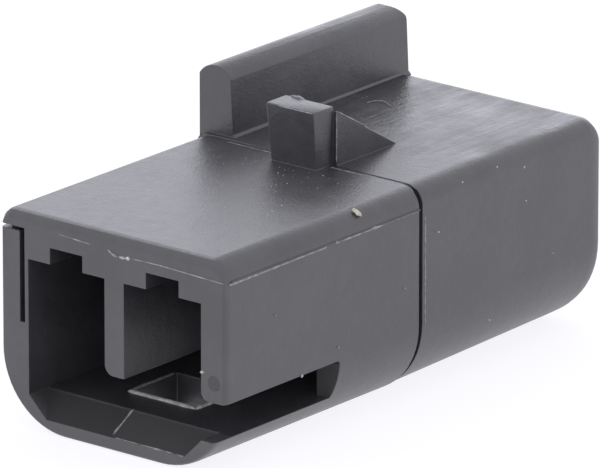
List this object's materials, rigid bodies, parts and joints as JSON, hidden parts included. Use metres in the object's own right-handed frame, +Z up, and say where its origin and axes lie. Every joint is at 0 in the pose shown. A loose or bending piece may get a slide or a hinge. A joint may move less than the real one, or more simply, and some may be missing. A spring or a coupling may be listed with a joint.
{
  "type": "wire-to-wire connector housing",
  "caption": "Moulded black nylon connector housing with side-by-side contact cavities, a top catch lug and a guide fin.",
  "frame": {"origin": "middle of the underside, halfway between the wire entry and the mating end", "axes": "+X to the right seen from the wire entry, +Y from the wire entry to the mating end, +Z up towards the catch lug"},
  "size_m": [0.006, 0.0124, 0.006],
  "materials": {
    "black_nylon": "satin moulded nylon, slightly textured"
  },
  "bodies": {
    "root": {"housing": "black_nylon"}
  },
  "joints": []
}
